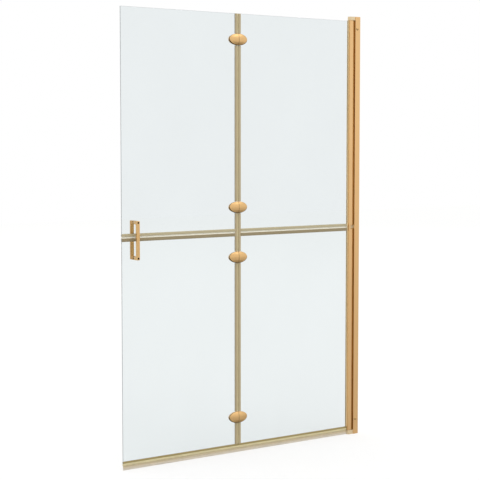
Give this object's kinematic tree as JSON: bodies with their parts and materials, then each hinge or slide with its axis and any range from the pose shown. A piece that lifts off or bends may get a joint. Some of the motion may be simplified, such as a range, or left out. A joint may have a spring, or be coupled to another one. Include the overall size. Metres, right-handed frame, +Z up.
{
  "type": "folding shower screen",
  "caption": "Wall-hung clear glass shower screen in gold trim that turns at the wall and folds at its middle, with oval hinges, edge seals and a bar handle.",
  "frame": {"origin": "on the wall plane, at floor level, in the middle of the wall channel's depth", "axes": "+Z up, +X into the wall, so the screen runs towards -X; its front faces -Y"},
  "size_m": [1.197, 0.065, 1.9],
  "materials": {
    "gold_anodised": "gold anodised, satin bright, drawn along its length",
    "gold_die_cast": "gold lacquered zinc casting, satin",
    "gold_plated_brass": "polished gold plating",
    "clear_glass": "clear toughened glass, ground edges",
    "gold_tinted_seal": "translucent gold-tinted PVC",
    "clear_gasket": "clear silicone",
    "nylon": "natural nylon",
    "stainless_steel": "turned stainless steel"
  },
  "bodies": {
    "wall_channel": {"lower_wall_channel": "gold_anodised", "upper_wall_channel": "gold_anodised", "lock_screws": "gold_plated_brass", "clamp_plates": "stainless_steel"},
    "carrier": {"lower_carrier": "gold_anodised", "upper_carrier": "gold_anodised", "top_bearing_block": "gold_die_cast", "middle_bearing_block": "gold_die_cast", "bottom_bearing_block": "gold_die_cast", "top_pivot_pin": "stainless_steel", "middle_pivot_pin": "stainless_steel", "bottom_pivot_pin": "stainless_steel"},
    "inner_leaf": {"pivot_bushes": "nylon", "lower_pivot_profile": "gold_anodised", "upper_pivot_profile": "gold_anodised", "lower_glazing_gasket": "clear_gasket", "upper_glazing_gasket": "clear_gasket", "inner_lower_pane": "clear_glass", "inner_upper_pane": "clear_glass", "inner_fold_seal": "gold_tinted_seal", "inner_bottom_seal": "gold_tinted_seal", "inner_lower_mid_seal": "gold_tinted_seal", "inner_upper_mid_seal": "gold_tinted_seal", "top_hinge_inner_cover": "gold_plated_brass", "upper_hinge_inner_cover": "gold_plated_brass", "lower_hinge_inner_cover": "gold_plated_brass", "bottom_hinge_inner_cover": "gold_plated_brass", "top_hinge_inner_plate": "gold_plated_brass", "upper_hinge_inner_plate": "gold_plated_brass", "lower_hinge_inner_plate": "gold_plated_brass", "bottom_hinge_inner_plate": "gold_plated_brass", "inner_hinge_gaskets": "clear_gasket", "inner_hinge_screws": "stainless_steel", "top_hinge_pin": "stainless_steel", "upper_hinge_pin": "stainless_steel", "lower_hinge_pin": "stainless_steel", "bottom_hinge_pin": "stainless_steel"},
    "outer_leaf": {"outer_lower_pane": "clear_glass", "outer_upper_pane": "clear_glass", "outer_fold_seal": "gold_tinted_seal", "outer_bottom_seal": "gold_tinted_seal", "outer_lower_mid_seal": "gold_tinted_seal", "outer_upper_mid_seal": "gold_tinted_seal", "top_hinge_outer_cover": "gold_plated_brass", "upper_hinge_outer_cover": "gold_plated_brass", "lower_hinge_outer_cover": "gold_plated_brass", "bottom_hinge_outer_cover": "gold_plated_brass", "top_hinge_outer_plate": "gold_plated_brass", "upper_hinge_outer_plate": "gold_plated_brass", "lower_hinge_outer_plate": "gold_plated_brass", "bottom_hinge_outer_plate": "gold_plated_brass", "outer_hinge_gaskets": "clear_gasket", "outer_hinge_screws": "stainless_steel", "front_handle": "gold_plated_brass", "back_handle": "gold_plated_brass", "handle_bolts": "stainless_steel", "handle_washers": "clear_gasket", "handle_sleeves": "clear_gasket"}
  },
  "joints": [
    {"name": "wall_adjustment", "type": "slide", "parent": "wall_channel", "child": "carrier", "axis": [-1, 0, 0], "range_m": [0, 0.008]},
    {"name": "wall_pivot", "type": "hinge", "parent": "carrier", "child": "inner_leaf", "pos_m": [-0.0415, 0, 0], "axis": [0, 0, 1], "range_deg": [-90, 90]},
    {"name": "fold", "type": "hinge", "parent": "inner_leaf", "child": "outer_leaf", "pos_m": [-0.644, 0.011, 0], "axis": [0, 0, -1], "range_deg": [0, 177]}
  ]
}
